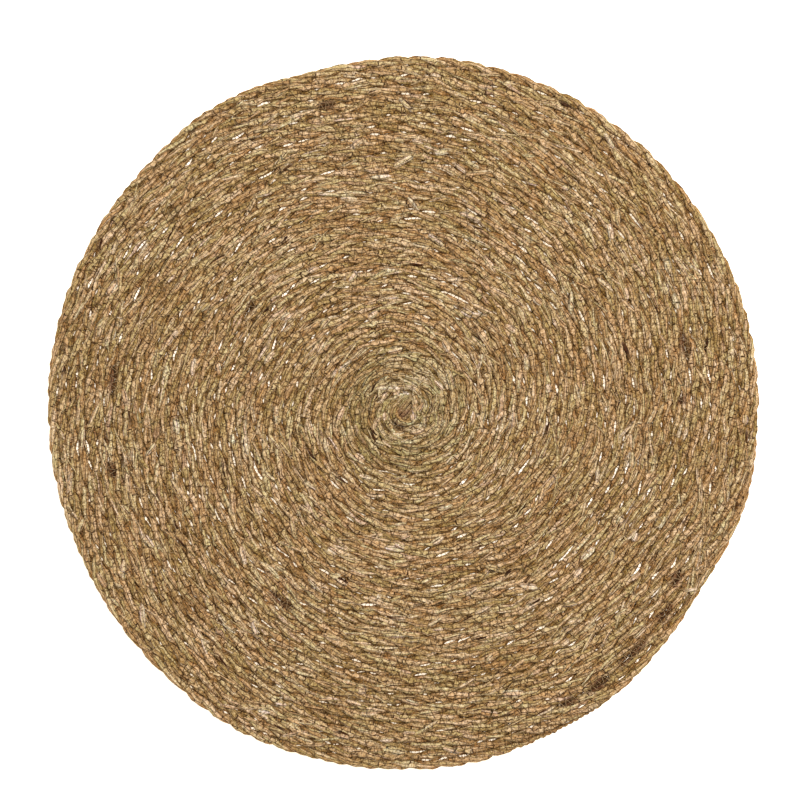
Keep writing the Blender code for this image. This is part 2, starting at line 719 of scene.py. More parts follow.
def store_map(thing: bpy.types.Object, name: str, values: np.ndarray) -> None:
    """Store a UV map from two numbers for each face corner."""
    layer = thing.data.uv_layers.new(name=name)
    layer.data.foreach_set("uv", np.asarray(values, np.float32).ravel())


def store_points(thing: bpy.types.Object, name: str, values: np.ndarray) -> None:
    """Store an attribute.

    Args:
        thing: the piece.
        name: the attribute's name.
        values: a vector or a number for each vertex.
    """
    kind, field = ("FLOAT_VECTOR", "vector") if values.ndim == 2 else ("FLOAT", "value")
    layer = thing.data.attributes.new(name, kind, "POINT")
    layer.data.foreach_set(field, np.asarray(values, np.float32).ravel())


@dataclass
class Plies:
    """The two plies of the cord, each one closed tube from the centre to the tail."""

    cord: TwistedCord
    ring_step: float = 2.38 * MM
    fine_step: float = 0.8 * MM
    tail_step: float = 0.45 * MM
    head_run: float = 60.0 * MM
    tail_run: float = 90.0 * MM
    head_turns: float = 0.25
    head_flat: float = 0.4
    shade_from: float = 0.45
    shade_over: float = 0.6
    texture_margin: float = 0.05
    run_unit: float = 10.0 * MM
    ply_shift: float = 5000.0

    def __post_init__(self) -> None:
        """Space the rings closely in the tight first turns and the tail, evenly between."""
        coil = self.cord.coil
        start, end = coil.run(np.array([coil.first_turn, coil.last_turn]))
        head = np.arange(start, self.head_run, self.fine_step)
        body = np.arange(self.head_run, end - self.tail_run, self.ring_step)
        tail = np.linspace(end - self.tail_run, end, round(self.tail_run / self.tail_step))
        self.turns = coil.turns_at(np.concatenate([head, body, tail]))

    def shade(self, turns: np.ndarray, across: np.ndarray) -> np.ndarray:
        """How deep in a hollow each vertex is; it grows from within the row to its edges.

        Args:
            turns: the rings' places on the cord.
            across: the vertices' places across the row, from -1 to 1, a row for each ring.

        Returns:
            Shares from 0 to 1.
        """
        outer, inner = self.cord.hollow(turns), self.cord.hollow(turns - 1.0)
        outward = outer[:, None] * ease((across + self.shade_from) / self.shade_over)
        inward = inner[:, None] * ease((self.shade_from - across) / self.shade_over)
        return np.maximum(outward, inward)

    def strips(self, length: float, bands: int, steps: np.ndarray
               ) -> Tuple[np.ndarray, np.ndarray, np.ndarray]:
        """Lay the unrolled ply in equal strips, one over the other, to fill a square.

        The count of strips is the root of the length over the ply's girth.

        Args:
            length: the ply's length.
            bands: how many bands of faces it has.
            steps: places around the ply, from 0 to 1.

        Returns:
            Values at the start and at the end of each band, and across each band.
        """
        girth = TAU * 0.5 * (self.cord.ply_proud + self.cord.ply_broad)
        count = round(math.sqrt(length / girth))
        each = math.ceil(bands / count)
        band = np.arange(bands)
        strip = band // each
        low = (band - strip * each) / each
        margin = self.texture_margin
        across = (strip[:, None] + margin + (1.0 - 2.0 * margin) * steps) / count
        return low[None], low[None] + 1.0 / each, across[None]

    def build(self, ply: int) -> bpy.types.Object:
        """Build one ply with its maps.

        Args:
            ply: 0 or 1.

        Returns:
            The piece, with the maps and attributes that its finish and its texture read.
        """
        cord, coil, turns = self.cord, self.cord.coil, self.turns
        ring = np.broadcast_to(cord.around, (len(turns), len(cord.around)))
        side, rise = cord.skin(turns, ply, ring)
        taper = ease((turns - coil.first_turn) / self.head_turns + 0.25)[:, None]
        points = cord.points(turns, side, rise * (1.0 - self.head_flat + self.head_flat * taper))
        tubes = Tubes(f"ply_{ply + 1}", points[None])
        thing = tubes.build()
        run = coil.run(turns)[None] / self.run_unit
        around = np.append(cord.around, cord.around[0] - TAU) / TAU
        shift = self.ply_shift * ply
        place = tubes.corner_values(run[:, :-1] + shift, run[:, 1:] + shift, around)
        store_map(thing, "ply", place)
        length = float(run[0, -1] - run[0, 0]) * self.run_unit
        low, high, across = self.strips(length, len(turns) - 1, around[0] - around)
        store_map(thing, "OFBake", tubes.corner_values(low, high, across))
        places = coil.stitch_places(turns, coil.centre(turns)[:, None] + side)
        store_points(thing, "stitch", places.reshape(-1, 3))
        store_points(thing, "hollow", self.shade(turns, places[..., 2]).ravel())
        return thing


# Where along a leg of the zigzag its rings are, for each face.
LEGS = {Face.TOP: (0.0, 0.13, 0.5, 0.87), Face.UNDERSIDE: (0.0, 0.25, 0.75)}


@dataclass
class Stitching:
    """The zigzag thread of one face: each leg runs from a hole in the middle of one row to
    a hole in the middle of the next, tight over the crests and taut across the valley."""

    cord: TwistedCord
    face: Face
    seed: int
    thread_radius: float = 0.15 * MM
    hole_depth: float = 0.55 * MM
    valley_sag: float = 0.55 * MM
    under_sag: float = 0.2 * MM
    deepest: float = 0.6 * MM
    lie: float = 0.6
    slip_low: float = -0.05
    slip_high: float = 0.09
    first_hole: float = 0.1
    grid: int = 200000

    def __post_init__(self) -> None:
        """Keep where along a leg its rings are, and the draw of the holes' places."""
        self.legs = LEGS[self.face]
        self.jitter = np.random.default_rng(self.seed)

    def hole_places(self) -> Tuple[np.ndarray, np.ndarray]:
        """Find the holes, from the centre outwards.

        Returns:
            Turns of every hole and its share of the way across the join.
        """
        coil = self.cord.coil
        grid = np.linspace(coil.first_turn + self.first_hole, coil.last_turn - 1.0, self.grid)
        count = coil.stitches(grid)
        numbers = np.arange(math.ceil(count[0]), math.floor(count[-1]))
        turns = np.interp(numbers, count, grid)
        slip = self.jitter.uniform(self.slip_low, self.slip_high, len(numbers))
        share = np.where(numbers % 2 == 0, slip, 1.0 - slip)
        return turns, share

    def heights(self, turns: np.ndarray, share: np.ndarray) -> Tuple[np.ndarray, np.ndarray]:
        """Read the mat across a join.

        Args:
            turns: places on the inner row.
            share: shares of the way from its middle to the outer row's middle.

        Returns:
            Radii, and heights of the higher surface of the two rows there.
        """
        coil = self.cord.coil
        near, far = coil.centre(turns), coil.centre(turns + 1.0)
        radius = near + share * (far - near)
        lower = self.cord.surface(turns, radius - near, self.face)
        upper = self.cord.surface(turns + 1.0, radius - far, self.face)
        return radius, np.maximum(np.maximum(lower, upper), self.deepest)

    def route(self) -> Tuple[np.ndarray, np.ndarray]:
        """Lay the legs one after the other.

        Returns:
            Points of the thread, ring after ring, and the turns of each.
        """
        turns, share = self.hole_places()
        parts = []
        for step in self.legs:
            at = turns[:-1] + step * np.diff(turns)
            across = share[:-1] + step * np.diff(share)
            radius, height = self.heights(at, across)
            parts.append((at, radius, height))
        at, radius, height = (np.stack(column, axis=1) for column in zip(*parts))
        height[:, 1:] += self.lie * self.thread_radius
        crest = 0.5 * (height[:, 1] + height[:, -1])
        if self.face is Face.TOP:
            height[:, 2] = np.maximum(height[:, 2], crest - self.valley_sag)
        else:
            height[:, 1:] = np.maximum(height[:, 1:], (crest - self.under_sag)[:, None])
        height[:, 0] -= self.hole_depth
        rise = self.cord.middle_height + self.face.value * height
        return self.cord.coil.place(at.ravel(), radius.ravel(), rise.ravel()), at.ravel()

    def build(self, pieces: int) -> List[bpy.types.Object]:
        """Build the thread in equal lengths, one behind the other.

        Args:
            pieces: how many lengths, so that each stays light.

        Returns:
            The lengths, from the centre outwards.
        """
        path, at = self.route()
        angle = TAU * at
        row = np.stack([-np.sin(angle), np.cos(angle), np.zeros_like(angle)], axis=-1)
        built = []
        for number, part in enumerate(np.array_split(np.arange(len(path)), pieces)):
            radius = np.full((1, len(part)), self.thread_radius)
            rings = sweep(path[None, part], row[None, part], (radius, radius), THREAD_SECTION)
            name = f"thread_{self.face.name.lower()}_{number + 1}"
            thing = Tubes(name, rings).build()
            # the hollows under the thread, where its finish paints it paler as lit
            open_here = np.repeat(self.cord.hollow(at[part]), len(THREAD_SECTION))
            store_points(thing, "hollow", open_here)
            built.append(thing)
        return built


@dataclass(frozen=True)
class BladeKind:
    """How one kind of separate blade lies on the mat; sizes in metres, slopes in radians."""

    name: str
    seed: int
    count: int
    narrow: float
    broad: float
    short: float
    long: float
    slope: float
    spread: float
    lift: float
    thickness: float
    face: Face = Face.TOP
    within: float = 1.0


STRANDS = BladeKind(name="strands", seed=51, count=1500, narrow=1.1 * MM, broad=2.7 * MM,
                    short=6.0 * MM, long=17.0 * MM, slope=-0.02, spread=0.2, lift=-0.06 * MM,
                    thickness=0.34 * MM)
LEAVES = BladeKind(name="leaves", seed=52, count=210, narrow=2.2 * MM, broad=4.2 * MM,
                   short=6.0 * MM, long=13.0 * MM, slope=0.15, spread=0.3, lift=-0.02 * MM,
                   thickness=0.3 * MM)
STRAYS = BladeKind(name="strays", seed=53, count=18, narrow=0.45 * MM, broad=0.9 * MM,
                   short=10.0 * MM, long=24.0 * MM, slope=0.05, spread=0.4, lift=0.15 * MM,
                   thickness=0.22 * MM)
UNDER_STRANDS = BladeKind(name="strands_underside", seed=54, count=260, narrow=0.8 * MM,
                          broad=1.5 * MM, short=8.0 * MM, long=20.0 * MM, slope=-0.13,
                          spread=0.13, lift=-0.1 * MM, thickness=0.26 * MM,
                          face=Face.UNDERSIDE)
CENTRE_STRANDS = BladeKind(name="strands_centre", seed=55, count=70, narrow=1.2 * MM,
                           broad=2.6 * MM, short=8.0 * MM, long=16.0 * MM, slope=0.12,
                           spread=0.28, lift=-0.04 * MM, thickness=0.34 * MM,
                           within=24.0 * MM)
CENTRE_LEAVES = BladeKind(name="leaves_centre", seed=56, count=14, narrow=2.4 * MM,
                          broad=3.6 * MM, short=9.0 * MM, long=14.0 * MM, slope=0.1,
                          spread=0.35, lift=-0.02 * MM, thickness=0.3 * MM, within=19.0 * MM)


def map_blades(thing: bpy.types.Object, tubes: Tubes, along: np.ndarray) -> None:
    """Lay the grass's map over separate blades, each on a stretch of its own.

    Args:
        thing: the piece.
        tubes: its tubes, with the section of a blade.
        along: distances along the blades, a row for each blade.
    """
    blades, rings = along.shape
    number = 7.0 * np.arange(blades)[:, None]
    place = along / Plies.run_unit + number
    bands = np.broadcast_to(BLADE_PLACES, (blades, rings - 1, len(BLADE_PLACES)))
    bands = bands + number[:, :, None]
    store_map(thing, "ply", tubes.corner_values(place[:, :-1], place[:, 1:], bands))


@dataclass
class LooseBlades:
    """Separate blades of grass that lie on the rows, their ends tucked between the plies."""

    cord: TwistedCord
    kind: BladeKind
    rings: int = 7
    rim_margin: float = 1.6 * MM
    tail_margin: float = 3.0 * MM
    tail_turns: float = 0.8
    centre_margin: float = 6.0 * MM
    least_radius: float = 2.0 * MM
    full_length_radius: float = 20.0 * MM
    shortest: float = 0.35
    widest_slope: float = 2.2
    bend: float = 0.12
    tip_share: float = 0.2
    tuck: float = 0.55 * MM
    tuck_from: float = 0.45
    loosest: float = -0.2
    thin_end: float = 0.35
    steepest: float = 0.7
    bridge: float = 0.12 * MM
    clear: float = 5.0 * MM
    clear_length: float = 0.75
    clear_shift: float = 1.6

    def __post_init__(self) -> None:
        """Start the blades' own random draws."""
        self.draw = np.random.default_rng(self.kind.seed)

    def between(self, low: float, high: float) -> np.ndarray:
        """One random number for each blade."""
        return self.draw.uniform(low, high, self.kind.count)

    def lines(self) -> Tuple[np.ndarray, np.ndarray, np.ndarray, np.ndarray]:
        """Route of each blade: straight on at a slope to the row, bent a little.

        Returns:
            Angles in turns, radii, distances along the blade and half widths, each with a
            row for each blade.
        """
        kind = self.kind
        edge = min(self.cord.coil.mean_radius - self.rim_margin, kind.within)
        start = np.sqrt(self.between(self.centre_margin ** 2, (edge - kind.broad) ** 2))
        heading = self.between(0.0, 1.0)
        for one in HOLLOWS:
            past = TAU * one.radius * ((heading - one.degrees / 360.0 + 0.5) % 1.0 - 0.5)
            near = np.abs(past) < self.clear_length * one.length
            near &= np.abs(start - one.radius) < self.clear
            shift = self.clear_shift * one.length / (TAU * one.radius)
            heading = heading + np.where(near, shift, 0.0)
        room = np.clip(start / self.full_length_radius, self.shortest, 1.0)
        length = self.between(kind.short, kind.long) * room
        lean = self.draw.normal(size=kind.count)
        lean = np.clip(lean, -self.widest_slope, self.widest_slope)
        slope = kind.slope + kind.spread * lean
        share = np.linspace(-0.5, 0.5, self.rings)
        along = length[:, None] * share
        bend = self.between(-self.bend, self.bend)[:, None] * along * share
        radius = start[:, None] + np.tan(slope)[:, None] * along + bend
        radius = np.clip(radius, self.least_radius, None)
        angle = heading[:, None] + along / (TAU * start[:, None])
        coil = self.cord.coil
        rim = coil.mean_radius + np.interp(
            (angle * 360.0) % 360.0, coil.angles, coil.unevenness, period=360.0)
        half = 0.5 * self.between(kind.narrow, kind.broad)[:, None]
        taper = np.sqrt(np.clip(1.02 - (2.0 * share) ** 2, 0.0, 1.0))
        tail_side = (coil.last_turn - angle) % 1.0 > self.tail_turns
        radius = np.minimum(radius, rim - self.rim_margin - self.tail_margin * tail_side)
        return angle, radius, along, half * (self.tip_share + (1.0 - self.tip_share) * taper)

    def build(self) -> bpy.types.Object:
        """Build the blades as one piece.

        A blade rests on the highest surface under its middle and its two edges, bridges small
        valleys, and is tilted by the difference of height between its edges.

        Returns:
            The piece, with the map and the attribute that its finish reads.
        """
        kind, cord = self.kind, self.cord
        angle, radius, along, half = self.lines()
        heights = [cord.cover(angle.ravel(), (radius + shift * half).ravel(), kind.face)
                   .reshape(radius.shape) for shift in (-1.0, 0.0, 1.0)]
        inner, middle, outer = heights
        rest = np.maximum(middle, 0.5 * (inner + outer))
        for _ in range(2):
            sides = 0.5 * (rest[:, :-2] + rest[:, 2:]) - self.bridge
            rest[:, 1:-1] = np.maximum(rest[:, 1:-1], sides)
        share = np.abs(np.linspace(-1.0, 1.0, self.rings))
        ends = self.tuck * ease((share - self.tuck_from) / (1.0 - self.tuck_from))
        free = self.between(self.loosest, 1.0)[:, None] * kind.lift
        rest = rest + np.where(kind.lift > 0.0, free, kind.lift) - ends
        tilt = np.clip((outer - inner) / (2.0 * half), -self.steepest, self.steepest)
        path = cord.coil.place(angle, radius, cord.middle_height + kind.face.value * rest)
        turn = TAU * angle
        flat = 1.0 / np.sqrt(1.0 + tilt * tilt)
        away = np.stack([np.cos(turn) * flat, np.sin(turn) * flat,
                         kind.face.value * tilt * flat], axis=-1)
        side = -kind.face.value * away
        body = self.thin_end + (1.0 - self.thin_end) * (1.0 - share ** 4)
        thick = np.full_like(half, kind.thickness) * body
        tubes = Tubes(kind.name, sweep(path, side, (half, thick), BLADE_SECTION))
        thing = tubes.build()
        halfway = self.rings // 2
        row = cord.coil.row_at(angle[:, halfway], radius[:, halfway])
        row = row[:, None] + angle - angle[:, halfway, None]
        row = np.clip(row, cord.coil.first_turn, cord.coil.last_turn).ravel()
        away = np.linalg.norm(tubes.rings[..., :2], axis=-1).reshape(len(row), -1)
        store_points(thing, "stitch", cord.coil.stitch_places(row, away).reshape(-1, 3))
        map_blades(thing, tubes, along)
        return thing


# A place among the stitches that is far from all of them.
UNSEWN = (1.0, 0.0, 0.0)


@dataclass
class Head:
    """The start of the cord: a plug of folded grass under a sheaf of short blades."""

    middle_height: float
    seed: int = 61
    middle_x: float = 1.2 * MM
    middle_y: float = 5.0 * MM
    plug_shift: float = 4.6 * MM
    heading: float = math.radians(48.0)
    half_long: float = 5.4 * MM
    half_wide: float = 4.5 * MM
    half_high: float = 3.05 * MM
    plug_spread: float = 1.25
    plug_fall: float = 0.62
    plug_shade: float = 0.85
    plug_blades: float = 14.0
    pole: float = 0.04
    rows: int = 20
    sides: int = 28
    blades: int = 11
    blade_half: float = 0.46 * MM
    blade_thickness: float = 0.4 * MM
    blade_sink: float = 0.1 * MM
    skew: float = 0.12
    tip_share: float = 0.3
    outer_line: float = 0.8
    outline: float = 1.25
    rings: int = 9

    def placed(self, along: np.ndarray, across: np.ndarray, height: np.ndarray) -> np.ndarray:
        """Place points by the sheaf's heading.

        Args:
            along: distances along the sheaf.
            across: distances across it.
            height: heights over the middle of the cord.

        Returns:
            Points, with x, y and z along a new last axis.
        """
        cos, sin = math.cos(self.heading), math.sin(self.heading)
        x = self.middle_x + along * cos - across * sin
        y = self.middle_y + along * sin + across * cos
        return np.stack(np.broadcast_arrays(x, y, self.middle_height + height), axis=-1)

    def crown(self, along: np.ndarray, across: np.ndarray) -> np.ndarray:
        """Height of the plug: the root of one less the squares of both shares."""
        square = (along / self.half_long) ** 2 + (across / self.half_wide) ** 2
        return self.half_high * np.sqrt(np.clip(1.0 - square, 0.0, 1.0))

    def plug(self) -> bpy.types.Object:
        """Build the plug: an egg of two angles, round its long axis and from pole to pole.

        Returns:
            The piece, shaded as the bottom of a hollow is.
        """
        polar = np.linspace(self.pole, math.pi - self.pole, self.rows)[:, None]
        around = np.linspace(0.0, TAU, self.sides, endpoint=False)[None]
        along = -self.plug_spread * self.half_long * np.cos(polar)
        across = self.plug_spread * self.half_wide * np.sin(polar) * np.cos(around)
        height = self.plug_fall * self.half_high * np.sin(polar) * np.sin(around)
        points = self.placed(along, across, height)
        points[..., 1] -= self.plug_shift
        tubes = Tubes("head_plug", points[None])
        thing = tubes.build()
        place = along[:, 0][None] / Plies.run_unit
        steps = np.arange(self.sides + 1) * self.plug_blades / self.sides
        store_map(thing, "ply", tubes.corner_values(place[:, :-1], place[:, 1:], steps))
        store_points(thing, "stitch", np.tile(UNSEWN, (len(thing.data.vertices), 1)))
        store_points(thing, "hollow", np.full(len(thing.data.vertices), self.plug_shade))
        return thing

    def sheaf(self) -> bpy.types.Object:
        """Build the sheaf: blades side by side over the plug, each a little askew.

        Returns:
            The piece, with the map that its finish reads.
        """
        draw = np.random.default_rng(self.seed)
        share = np.linspace(-1.0, 1.0, self.rings)
        line = np.linspace(-self.outer_line, self.outer_line, self.blades)[:, None]
        line = line * self.half_wide
        reach = np.sqrt(1.0 - (line / (self.outline * self.half_wide)) ** 2) * self.half_long
        skew = draw.uniform(-self.skew, self.skew, (self.blades, 1))
        along = reach * share
        across = line + skew * along
        height = self.crown(0.93 * along, 0.9 * across) - self.blade_sink
        path = self.placed(along, across, height)
        cos, sin = math.cos(self.heading), math.sin(self.heading)
        side = np.broadcast_to(np.array([-sin, cos, 0.0]), path.shape)
        taper = self.tip_share + (1.0 - self.tip_share) * np.sqrt(1.02 - share ** 2)
        half = np.broadcast_to(self.blade_half * taper, along.shape)
        thick = np.full(along.shape, self.blade_thickness)
        tubes = Tubes("head_sheaf", sweep(path, side, (half, thick), BLADE_SECTION))
        thing = tubes.build()
        map_blades(thing, tubes, along)
        store_points(thing, "stitch", np.tile(UNSEWN, (len(thing.data.vertices), 1)))
        return thing


@dataclass
class Whipping:
    """The thread that winds over the thinning tail and the rim, loop beside loop.

    A loop is a round in height and radius: from the middle of the row inside, over the tail,
    round its edge and back underneath, while it moves on along the rim.
    """

    cord: TwistedCord
    start_degrees: float = 277.0
    end_degrees: float = 306.5
    points: int = 12
    thread_radius: float = 0.2 * MM
    proud: float = 0.12 * MM
    grip: float = 0.3 * MM
    edge_inset: float = 0.1 * MM
    least_height: float = 0.3 * MM
    steepness: float = 3.0

    def build(self) -> bpy.types.Object:
        """Build the thread as one closed tube.

        Returns:
            The piece.
        """
        coil, cord = self.cord.coil, self.cord
        start, end = math.radians(self.start_degrees), math.radians(self.end_degrees)
        loops = round((end - start) * coil.mean_radius / cord.whip_step)
        phase = np.linspace(0.0, loops, loops * self.points + 1)
        angle = (start + (end - start) * phase / loops) / TAU
        on_tail = angle * 360.0 <= coil.tail_tip
        row = math.floor(coil.last_turn) + angle - np.where(on_tail, 0.0, 1.0)
        inside = coil.centre(row - np.where(on_tail, 1.0, 0.0)) - self.grip
        ring = np.broadcast_to(cord.around, (len(row), len(cord.around)))
        reach = np.maximum(*(cord.skin(row, ply, ring)[0].max(axis=1) for ply in (0, 1)))
        edge = coil.centre(row) + reach
        turn = TAU * phase
        middle, half = 0.5 * (inside + edge), 0.5 * (edge - inside) + self.proud
        radius = middle + half * np.cos(turn)
        slack = 2.0 * self.thread_radius
        at = np.clip(radius, inside, edge - self.edge_inset)
        over, under = (np.maximum(cord.cover(angle, at, face), self.least_height)
                       + self.thread_radius for face in (Face.TOP, Face.UNDERSIDE))
        fall = np.clip(np.abs(np.sin(turn)) * self.steepness, 0.0, 1.0)
        rise = np.where(np.sin(turn) > 0.0, over, -under + slack) * fall
        path = coil.place(angle, radius, cord.middle_height + rise)[None]
        out = np.cos(turn)
        side = np.stack([out * np.cos(TAU * angle), out * np.sin(TAU * angle), np.sin(turn)],
                        axis=-1)[None]
        thickness = np.full(path.shape[:2], self.thread_radius)
        rings = sweep(path, side, (thickness, thickness), THREAD_SECTION)
        return Tubes("tail_whipping", rings).build()


class Finish:
    """A material under construction: short calls that add and join its nodes."""

    def __init__(self, tree: bpy.types.NodeTree) -> None:
        """Keep the node tree to build in."""
        self.tree = tree

    def node(self, kind: str, **settings: object) -> bpy.types.Node:
        """Add a node.

        Args:
            kind: the node's type.
            settings: its plain properties by name.

        Returns:
            The node.
        """
        new = self.tree.nodes.new(kind)
        for name, value in settings.items():
            setattr(new, name, value)
        return new

    def feed(self, socket: bpy.types.NodeSocket, value: object) -> None:
        """Join a socket, or set its number, vector or colour.

        Args:
            socket: the input to feed.
            value: an output to join, a value to set, or None to leave it.
        """
        if isinstance(value, bpy.types.NodeSocket):
            self.tree.links.new(value, socket)
        elif value is not None:
            socket.default_value = value

    def maths(self, operation: str, *values: object) -> bpy.types.NodeSocket:
        """Add a Math node.

        Args:
            operation: what it works out.
            values: up to three numbers or sockets.

        Returns:
            Its result.
        """
        new = self.node("ShaderNodeMath", operation=operation)
        for socket, value in zip(new.inputs, values):
            self.feed(socket, value)
        return new.outputs[0]

    def eased(self, value: object, low: float, high: float, start: float = 0.0,
              end: float = 1.0) -> bpy.types.NodeSocket:
        """Map a value smoothly, with level ends.

        Args:
            value: a number or socket.
            low: the value that gives the start.
            high: the value that gives the end.
            start: the first result.
            end: the last result.

        Returns:
            The result.
        """
        new = self.node("ShaderNodeMapRange", interpolation_type="SMOOTHSTEP")
        for name, item in (("Value", value), ("From Min", low), ("From Max", high),
                           ("To Min", start), ("To Max", end)):
            self.feed(new.inputs[name], item)
        return new.outputs["Result"]

    def vector(self, x: object, y: object, z: object = 0.0) -> bpy.types.NodeSocket:
        """Join three values into a vector.

        Args:
            x: the first number or socket.
            y: the second.
            z: the third.

        Returns:
            The vector.
        """
        new = self.node("ShaderNodeCombineXYZ")
        for socket, value in zip(new.inputs, (x, y, z)):
            self.feed(socket, value)
        return new.outputs[0]

    def split(self, vector: bpy.types.NodeSocket) -> Sequence[bpy.types.NodeSocket]:
        """Split a vector.

        Args:
            vector: the socket to split.

        Returns:
            Its three values.
        """
        new = self.node("ShaderNodeSeparateXYZ")
        self.feed(new.inputs[0], vector)
        return new.outputs

    def noise(self, vector: object, scale: float, detail: float = 2.0,
              rough: float = 0.5) -> bpy.types.NodeSocket:
        """Smooth noise between 0 and 1.

        Args:
            vector: where it is read.
            scale: waves for each unit of the vector.
            detail: how many finer layers it has.
            rough: how strong each finer layer is.

        Returns:
            The noise.
        """
        new = self.node("ShaderNodeTexNoise")
        self.feed(new.inputs["Vector"], vector)
        self.feed(new.inputs["Scale"], scale)
        self.feed(new.inputs["Detail"], detail)
        self.feed(new.inputs["Roughness"], rough)
        return new.outputs["Fac"]

    def chance(self, vector: object) -> bpy.types.NodeSocket:
        """Draw a random value from 0 to 1, fixed for each vector.

        Args:
            vector: what the value belongs to.

        Returns:
            The value.
        """
        new = self.node("ShaderNodeTexWhiteNoise", noise_dimensions="3D")
        self.feed(new.inputs["Vector"], vector)
        return new.outputs["Value"]

    def blend(self, share: object, first: object, second: object,
              mode: str = "MIX") -> bpy.types.NodeSocket:
        """Mix two colours.

        Args:
            share: how much of the second to take.
            first: a colour or socket.
            second: a colour or socket.
            mode: how the second acts on the first.

        Returns:
            The mixed colour.
        """
        new = self.node("ShaderNodeMix", data_type="RGBA", blend_type=mode)
        self.feed(new.inputs["Factor"], share)
        self.feed(new.inputs[6], wide(first))
        self.feed(new.inputs[7], wide(second))
        return new.outputs[2]

    def ramp(self, value: object, stops: Sequence[Tuple[float, Colour]]) -> bpy.types.NodeSocket:
        """Turn a value into a colour.

        Args:
            value: a socket.
            stops: positions and their colours.

        Returns:
            The colour.
        """
        new = self.node("ShaderNodeValToRGB")
        self.feed(new.inputs[0], value)
        points = new.color_ramp.elements
        while len(points) < len(stops):
            points.new(0.5)
        for point, (position, colour) in zip(points, stops):
            point.position = position
            point.color = (*colour, 1.0)
        return new.outputs[0]


def wide(colour: object) -> object:
    """Give a plain colour its fourth number; leave a socket as it is."""
    return colour if isinstance(colour, bpy.types.NodeSocket) else (*colour, 1.0)


def new_group(name: str, inputs: Dict[str, str], outputs: Dict[str, str]
              ) -> Tuple[Finish, bpy.types.Node, bpy.types.Node]:
    """Start a shader node group.

    Args:
        name: the group's name.
        inputs: socket types by name.
        outputs: socket types by name.

    Returns:
        The builder of its tree, its input node and its output node.
    """
    tree = bpy.data.node_groups.new(name, "ShaderNodeTree")
    for title, kind in inputs.items():
        tree.interface.new_socket(title, in_out="INPUT", socket_type=kind)
    for title, kind in outputs.items():
        tree.interface.new_socket(title, in_out="OUTPUT", socket_type=kind)
    build = Finish(tree)
    return build, build.node("NodeGroupInput"), build.node("NodeGroupOutput")


def blade_group() -> bpy.types.NodeTree:
    """Blades of grass laid side by side.

    The place across is blades times v plus the twist times u plus a slow waver. Its whole part
    numbers the blade, its fraction is the place on the blade, and u is cut into uneven lengths.

    Returns:
        The group: two chances for each length of blade, and masks of its edges, fibres, specks
        and thin crease lines; the finish paints shade along the edges and the crease lines.
    """
    floats = "NodeSocketFloat"
    build, given, out = new_group(
        "blades of grass",
        {"Place": "NodeSocketVector", "Blades": floats, "Length": floats, "Twist": floats,
         "Waver": floats},
        {"Chance": floats, "Second Chance": floats, "Edge": floats, "Fibre": floats,
         "Speckle": floats, "Crease Line": floats})
    u, v, _ = build.split(given.outputs["Place"])
    slow = build.noise(build.vector(build.maths("MULTIPLY", u, 0.55), v), 1.0, 1.0)
    quick = build.vector(build.maths("MULTIPLY", u, 2.6), build.maths("MULTIPLY", v, 5.0))
    turned = build.maths("MULTIPLY", u, given.outputs["Twist"])
    across = build.maths("MULTIPLY_ADD", v, given.outputs["Blades"], turned)
    across = build.maths("MULTIPLY_ADD", slow, given.outputs["Waver"], across)
    across = build.maths("MULTIPLY_ADD", build.noise(quick, 1.0, 1.0), 0.7, across)
    number = build.maths("FLOOR", across)
    start = build.maths("MULTIPLY", build.chance(build.vector(number, 3.7)), 9.0)
    cuts = build.maths("ADD", start, build.maths("DIVIDE", u, given.outputs["Length"]))
    length = build.maths("FLOOR", cuts)
    build.feed(out.inputs["Chance"], build.chance(build.vector(number, length, 1.5)))
    build.feed(out.inputs["Second Chance"], build.chance(build.vector(number, length, 8.5)))
    side = build.maths("PINGPONG", build.maths("ADD", across, 0.5), 0.5)
    end = build.maths("PINGPONG", build.maths("ADD", cuts, 0.5), 0.5)
    end = build.maths("MULTIPLY", build.maths("SUBTRACT", 0.5, end), 8.0)
    inside = build.maths("MINIMUM", build.maths("SUBTRACT", 0.5, side), end)
    build.feed(out.inputs["Edge"], build.eased(inside, 0.02, 0.135, 1.0, 0.0))
    fine = build.vector(build.maths("MULTIPLY", u, 2.4), build.maths("MULTIPLY", across, 2.0))
    build.feed(out.inputs["Fibre"], build.noise(fine, 1.0, 3.0, 0.75))
    speck = build.vector(build.maths("MULTIPLY", u, 12.0), build.maths("MULTIPLY", across, 3.4))
    build.feed(out.inputs["Speckle"], build.noise(speck, 1.0, 1.0))
    crease_line = build.node("ShaderNodeTexVoronoi", feature="DISTANCE_TO_EDGE")
    build.feed(crease_line.inputs["Vector"], build.vector(build.maths("MULTIPLY", u, 5.2),
                                                    build.maths("MULTIPLY", across, 0.8)))
    build.feed(crease_line.inputs["Scale"], 1.0)
    build.feed(out.inputs["Crease Line"], build.eased(crease_line.outputs["Distance"], 0.01, 0.10, 1.0, 0.0))
    return build.tree


